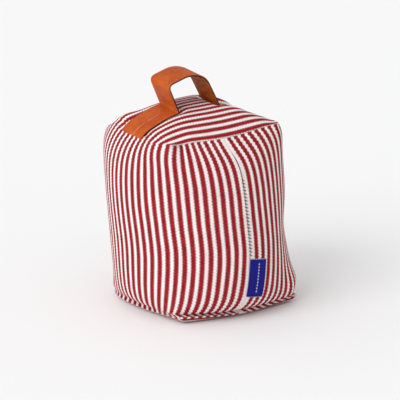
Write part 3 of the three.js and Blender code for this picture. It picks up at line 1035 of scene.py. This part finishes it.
def seam_thread(side, material):
    """The ladder of stitches across the upright seam."""
    parts = []
    rise = LABEL_BASE + LABEL_HEIGHT + STITCH_PITCH
    while rise < STITCHES_TO - BASE_LIFT:
        gap = float(seam_gap(np.array(rise + BASE_LIFT)))
        reach = gap / 2 + STITCH_REACH / 2
        path = []
        for share in np.linspace(-1, 1, STEPS_ALONG_STITCH):
            place, normal = on_side(side, share * reach, rise + share * reach * STITCH_SLANT)
            proud = STITCH_PROUD - STITCH_DIVE * share ** STITCH_DIVE_POWER
            path.append(place + normal * THREAD_DIAMETER * proud)
        parts.append(tube(path, THREAD_DIAMETER / 2))
        rise += STITCH_PITCH
    places, faces = join(parts)
    made = new_object("seam_thread", places, faces, material)
    subdivide(made)
    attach(made, "root")
    return made


# Materials

class Value:
    """What a node gives, and what can be worked out from it by adding further nodes."""

    def __init__(self, tree, socket):
        self.tree = tree
        self.socket = socket

    def maths(self, operation, *others):
        return add(self.tree, "ShaderNodeMath", dict(enumerate([self, *others])), operation=operation)

    def __add__(self, other):
        return self.maths("ADD", other)

    def __sub__(self, other):
        return self.maths("SUBTRACT", other)

    def __mul__(self, other):
        return self.maths("MULTIPLY", other)

    def __truediv__(self, other):
        return self.maths("DIVIDE", other)

    def __abs__(self):
        return self.maths("ABSOLUTE")

    def __round__(self):
        return self.maths("ROUND")

    def wave(self, pitch):
        """A wave between -1 and 1 that comes back at a pitch."""
        return (self * (FULL_TURN / pitch)).maths("SINE")

    def half_wave(self, pitch):
        """The same wave between 0 and 1."""
        return self.wave(pitch) * 0.5 + 0.5

    def mapped(self, low, high, to_low=0.0, to_high=1.0, kind="SMOOTHSTEP"):
        """One value up to low, the other from high on, and by default an S between them."""
        inputs = {"Value": self, "From Min": low, "From Max": high, "To Min": to_low, "To Max": to_high}
        return add(self.tree, "ShaderNodeMapRange", inputs, "Result", interpolation_type=kind)

    def mixed(self, first, second, kind="MIX"):
        """Two colours mixed by this share. A Mix node's sockets share names, so they go by number."""
        inputs = {0: self, 6: first, 7: second}
        return add(self.tree, "ShaderNodeMix", inputs, 2, data_type="RGBA", blend_type=kind)

    def noise(self, settings):
        scale, detail, roughness = settings
        inputs = {"Vector": self, "Scale": scale, "Detail": detail, "Roughness": roughness}
        return add(self.tree, "ShaderNodeTexNoise", inputs, "Fac")


def connect(tree, value, socket):
    """Gives an input a constant or another node's output."""
    if isinstance(value, Value):
        tree.links.new(value.socket, socket)
    else:
        socket.default_value = value


def add(tree, kind, inputs, output=0, **settings):
    """Adds a node with its inputs and settings, and returns one of its outputs."""
    node = tree.nodes.new(kind)
    for key, value in settings.items():
        setattr(node, key, value)
    for key, value in inputs.items():
        connect(tree, value, node.inputs[key])
    return Value(tree, node.outputs[output])


def new_material(name):
    made = bpy.data.materials.new(name)
    made.use_nodes = True
    return made


def pattern_of(material):
    """The pattern coordinates of a piece, in millimetres, as a vector and three numbers."""
    tree = material.node_tree
    vector = add(tree, "ShaderNodeAttribute", {}, "Vector", attribute_name="pattern")
    return vector, *[add(tree, "ShaderNodeSeparateXYZ", {"Vector": vector}, axis) for axis in "XYZ"]


def object_noise(material, settings):
    """Noise laid out in an object's own coordinates, for a piece that carries no pattern."""
    return add(material.node_tree, "ShaderNodeTexCoord", {}, "Object").noise(settings)


def surface(material, colour, height, relief, roughness, specular):
    """Sets a material's shader: its colour, its relief in millimetres, and how it mirrors light."""
    tree = material.node_tree
    shader = tree.nodes["Principled BSDF"]
    connect(tree, colour, shader.inputs["Base Color"])
    connect(tree, roughness, shader.inputs["Roughness"])
    bump = add(tree, "ShaderNodeBump", {"Height": height, "Distance": relief * MM})
    connect(tree, bump, shader.inputs["Normal"])
    connect(tree, specular, shader.inputs["Specular IOR Level"])


def ticking(name, across_index, first_stripe, turn, seam_at=None):
    """Striped cotton twill. The stripes run square to one of the pattern's axes."""
    material = new_material(name)
    vector, x, y, _ = pattern_of(material)
    across, along = (x, y) if across_index == 0 else (y, x)
    tooth = along.wave(RIB_PITCH)
    wander = vector.noise(WANDER_NOISE) * STRIPE_WANDER - STRIPE_WANDER / 2
    toothed = across + along * turn + wander + tooth.mapped(-TOOTH_STEP, TOOTH_STEP, -TOOTH, TOOTH)
    count = (toothed - first_stripe) / STRIPE_REPEAT
    from_stripe = count - round(count)
    nearest = abs(from_stripe)
    half = STRIPE_WIDTH / STRIPE_REPEAT / 2
    red_here = nearest.mapped(half - STRIPE_BLUR, half + STRIPE_BLUR, 1.0, 0.0)
    if seam_at is not None:
        from_seam = x.maths("PINGPONG", seam_at / 2)
        red_here = red_here * from_seam.mapped(SEAM_MARGIN - SEAM_BLUR, SEAM_MARGIN + SEAM_BLUR)
    rib = (across * RIB_SLOPE + along).half_wave(RIB_PITCH)
    crest = rib.mapped(0.5, 1.0)
    valley = rib.mapped(0.0, 0.5, 1.0, 0.0)
    slubs = vector.noise(SLUB_NOISE).mapped(*SLUB_LEVELS)
    red = (crest * CREST_LIGHT).mixed(slubs.mixed(RED_DARK, RED), RED_LIT)
    # Painted shade: the cream is darkened between the ribs.
    cream = (valley * RIB_SHADE).mixed(slubs.mixed(CREAM_DARK, CREAM), RIB_SHADE_COLOUR, "MULTIPLY")
    colour = red_here.mixed(cream, red)
    at_edge = abs(nearest - half).mapped(*EDGE_SHADE_REACH, 1.0, 0.0)
    outward = tooth * from_stripe.maths("SIGN")
    notch = outward.mapped(TOOTH_STEP, -TOOTH_STEP, EDGE_SHADE, NOTCH_SHADE)
    colour = (at_edge * notch * red_here).mixed(colour, TOOTH_SHADOW)
    faded = vector.noise(FADED_NOISE).mapped(*FADED_LEVELS, 0.0, FADED)
    colour = faded.mixed(colour, RED_DARK, "MULTIPLY")
    height = across.half_wave(YARN_PITCH) * YARN_SHARE + rib
    surface(material, colour, height, TICKING_RELIEF, TICKING_ROUGHNESS, TICKING_SPECULAR)
    return material


def crease_highlights_and_scratch(along, across, highlight_and_wear):
    """The pale lines on the leather: painted highlights on two creases across the strap, and a worn scratch
    along it that ends at the foot.
    """
    fold, second_fold, scratch = [
        abs(axis - place).mapped(*LINE_WIDTH, LINE_STRENGTH, 0.0) * highlight_and_wear
        for axis, place in ((along, FOLD_HIGHLIGHT), (along, SECOND_FOLD_HIGHLIGHT), (across, SCRATCH_LINE))
    ]
    return fold, second_fold, scratch * along.mapped(*SCRATCH_TO, 1.0, 0.0)


def leather():
    """Smooth tan leather, darker and ochre on its inner side, with painted edges."""
    material = new_material("tan_leather")
    vector, along, across, through = pattern_of(material)
    broad = vector.noise(HIDE_NOISE)
    patchy = vector.noise(PATCH_NOISE)
    pores = add(vector.tree, "ShaderNodeTexVoronoi", {"Vector": vector, "Scale": PORE_SCALE}, "Distance")
    outer = broad.mapped(*HIDE_LEVELS).mixed(TAN_RED, TAN)
    outer = patchy.mapped(*STAIN_LEVELS, 0.0, STAIN_STRENGTH).mixed(outer, TAN_DARK)
    # The dark patches on the inner side are painted shade for the shadow on that side, laid out by noise.
    inner = patchy.mapped(*EVEN_LEVELS).mixed(OCHRE_PAINTED_SHADE, OCHRE)
    upper_here = through.mapped(*UPPER_SIDE)
    colour = upper_here.mixed(inner, outer)
    # Pale lines on the upper side: painted highlights on two creases, and a worn scratch.
    for line in crease_highlights_and_scratch(along, across, patchy.mapped(*HIGHLIGHT_AND_WEAR_LEVELS)):
        colour = (line * upper_here).mixed(colour, TAN_HIGHLIGHT_AND_WEAR)
    half = STRAP_WIDTH / 2
    edge_here = abs(across).mapped(half - PAINTED_EDGE, half - PAINT_BLUR)
    colour = edge_here.mixed(colour, EDGE_PAINT)
    rough = patchy.mapped(*GLOSS_LEVELS, *LEATHER_ROUGHNESS)
    surface(material, colour, pores * PORE_SHARE + patchy, LEATHER_RELIEF, rough, LEATHER_SPECULAR)
    return material


def ribbon():
    """Close woven blue ribbon with a row of small pale lozenges along its middle."""
    material = new_material("woven_ribbon")
    vector, across, up, _ = pattern_of(material)
    weave = up.wave(RIBBON_WEFT) * across.wave(RIBBON_WARP)
    colour = vector.noise(RIBBON_NOISE).mapped(*EVEN_LEVELS).mixed(BLUE_DARK, BLUE)
    count = up / LOZENGE_PITCH
    upward = abs(count - round(count)) * (LOZENGE_PITCH / LOZENGE_HEIGHT)
    sideways = abs(across - LABEL_WIDTH / 2) / LOZENGE_WIDTH
    lozenge = (upward + sideways).mapped(*LOZENGE_BORDER, 1.0, 0.0)
    half = LABEL_HEIGHT / 2
    inside = up.maths("COMPARE", half, half - LOZENGE_MARGIN)
    colour = (lozenge * inside).mixed(colour, PALE_THREAD)
    edge_here = abs(up - half).mapped(half - SELVEDGE[0], half - SELVEDGE[1])
    colour = edge_here.mixed(colour, PALE_EDGE)
    surface(material, colour, weave, RIBBON_RELIEF, RIBBON_ROUGHNESS, RIBBON_SPECULAR)
    return material


def thread():
    material = new_material("dark_thread")
    strands = object_noise(material, STRAND_NOISE)
    colour = strands.mapped(*EVEN_LEVELS).mixed(THREAD_DARK, THREAD_PALE)
    surface(material, colour, strands, THREAD_RELIEF, THREAD_ROUGHNESS, THREAD_SPECULAR)
    return material


# Floor, light and camera

def floor():
    """A plain pale floor, wide enough to fill every view."""
    half = FLOOR_WIDTH / 2
    corners = [(-half, -half, 0), (half, -half, 0), (half, half, 0), (-half, half, 0)]
    material = new_material("pale_floor")
    grain = object_noise(material, FLOOR_NOISE)
    surface(material, FLOOR_COLOUR, grain, FLOOR_RELIEF, FLOOR_ROUGHNESS, FLOOR_SPECULAR)
    made = new_object("floor", corners, [(0, 1, 2, 3)], material)
    made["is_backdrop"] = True


def light():
    """An even studio, brighter on the left, and one soft light from there."""
    world = bpy.data.worlds.new("studio")
    bpy.context.scene.world = world
    world.use_nodes = True
    tree = world.node_tree
    background = tree.nodes["Background"]
    background.inputs["Color"].default_value = WHITE
    direction = add(tree, "ShaderNodeTexCoord", {}, "Generated")
    sideways = add(tree, "ShaderNodeSeparateXYZ", {"Vector": direction}, "X")
    strength = sideways.mapped(-1.0, 1.0, WORLD_LEFT, WORLD_RIGHT, "LINEAR")
    connect(tree, strength, background.inputs["Strength"])
    sun = bpy.data.lights.new("soft_key", "SUN")
    sun.energy = SUN_STRENGTH
    sun.angle = math.radians(SUN_SPREAD)
    lamp = placed("soft_key", sun)
    lamp.rotation_euler = (-Vector(SUN_FROM)).to_track_quat("-Z", "Y").to_euler()


def camera():
    """The camera from which the bag was photographed."""
    back = Vector((math.sin(CAMERA_AZIMUTH) * math.cos(CAMERA_ELEVATION),
                   -math.cos(CAMERA_AZIMUTH) * math.cos(CAMERA_ELEVATION), math.sin(CAMERA_ELEVATION)))
    right = Vector((math.cos(CAMERA_AZIMUTH), math.sin(CAMERA_AZIMUTH), 0))
    up = back.cross(right)
    aim = Vector(CAMERA_AIM) + right * CAMERA_AIM_RIGHT + up * CAMERA_AIM_UP
    data = bpy.data.cameras.new("camera")
    data.sensor_width = SENSOR_WIDTH
    data.lens = CAMERA_LENS
    data.clip_end = CAMERA_REACH
    made = placed("camera", data)
    made.location = (aim + back * CAMERA_DISTANCE) * MM
    made.rotation_euler = back.to_track_quat("Z", "Y").to_euler()
    bpy.context.scene.camera = made


# Putting it together

def settled_bag():
    """The places of the three panels once their cloth has settled."""
    side, top, base = bag_places()
    places, faces, panels = weld(side, top, base)
    pattern, _, _ = weld(*flat_pattern())
    held_panels = holding(side, top, base)
    held = np.full(len(places), HOLD_CLOTH)
    for index, firmness in zip(panels, held_panels):
        held[index] = np.maximum(held[index], firmness)
    found = settle(places, pattern, faces, held)
    return [found[index] for index in panels]


bag_side, bag_top, bag_base = settled_bag()
bag_side = gathered(bag_side)
side_panel(bag_side, ticking("side_ticking", 0, FIRST_STRIPE, 0.0, girth))
top_out = outward_of(bag_side[-1], TOP_SEAM_TILT)
square_panel("top_panel", bag_top, top_out, SEAM_SLIT / 2, 0,
             ticking("top_ticking", 1, TOP_FIRST_STRIPE, TOP_GRAIN_TURN))
base_out = outward_of(bag_side[0], BASE_SEAM_TILT)
square_panel("base_panel", bag_base, base_out, -SEAM_SLIT / 2, BASE_TUCK,
             ticking("base_ticking", 1, BASE_FIRST_STRIPE, 0.0), True)
handle_strap(leather())
side_label(bag_side, ribbon())
seam_thread(bag_side, thread())
floor()
light()
camera()
bpy.context.scene.view_settings.view_transform = "Standard"
sizes = {"cad": [list(corner) for corner in cad_box], "visual": [list(corner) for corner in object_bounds()]}
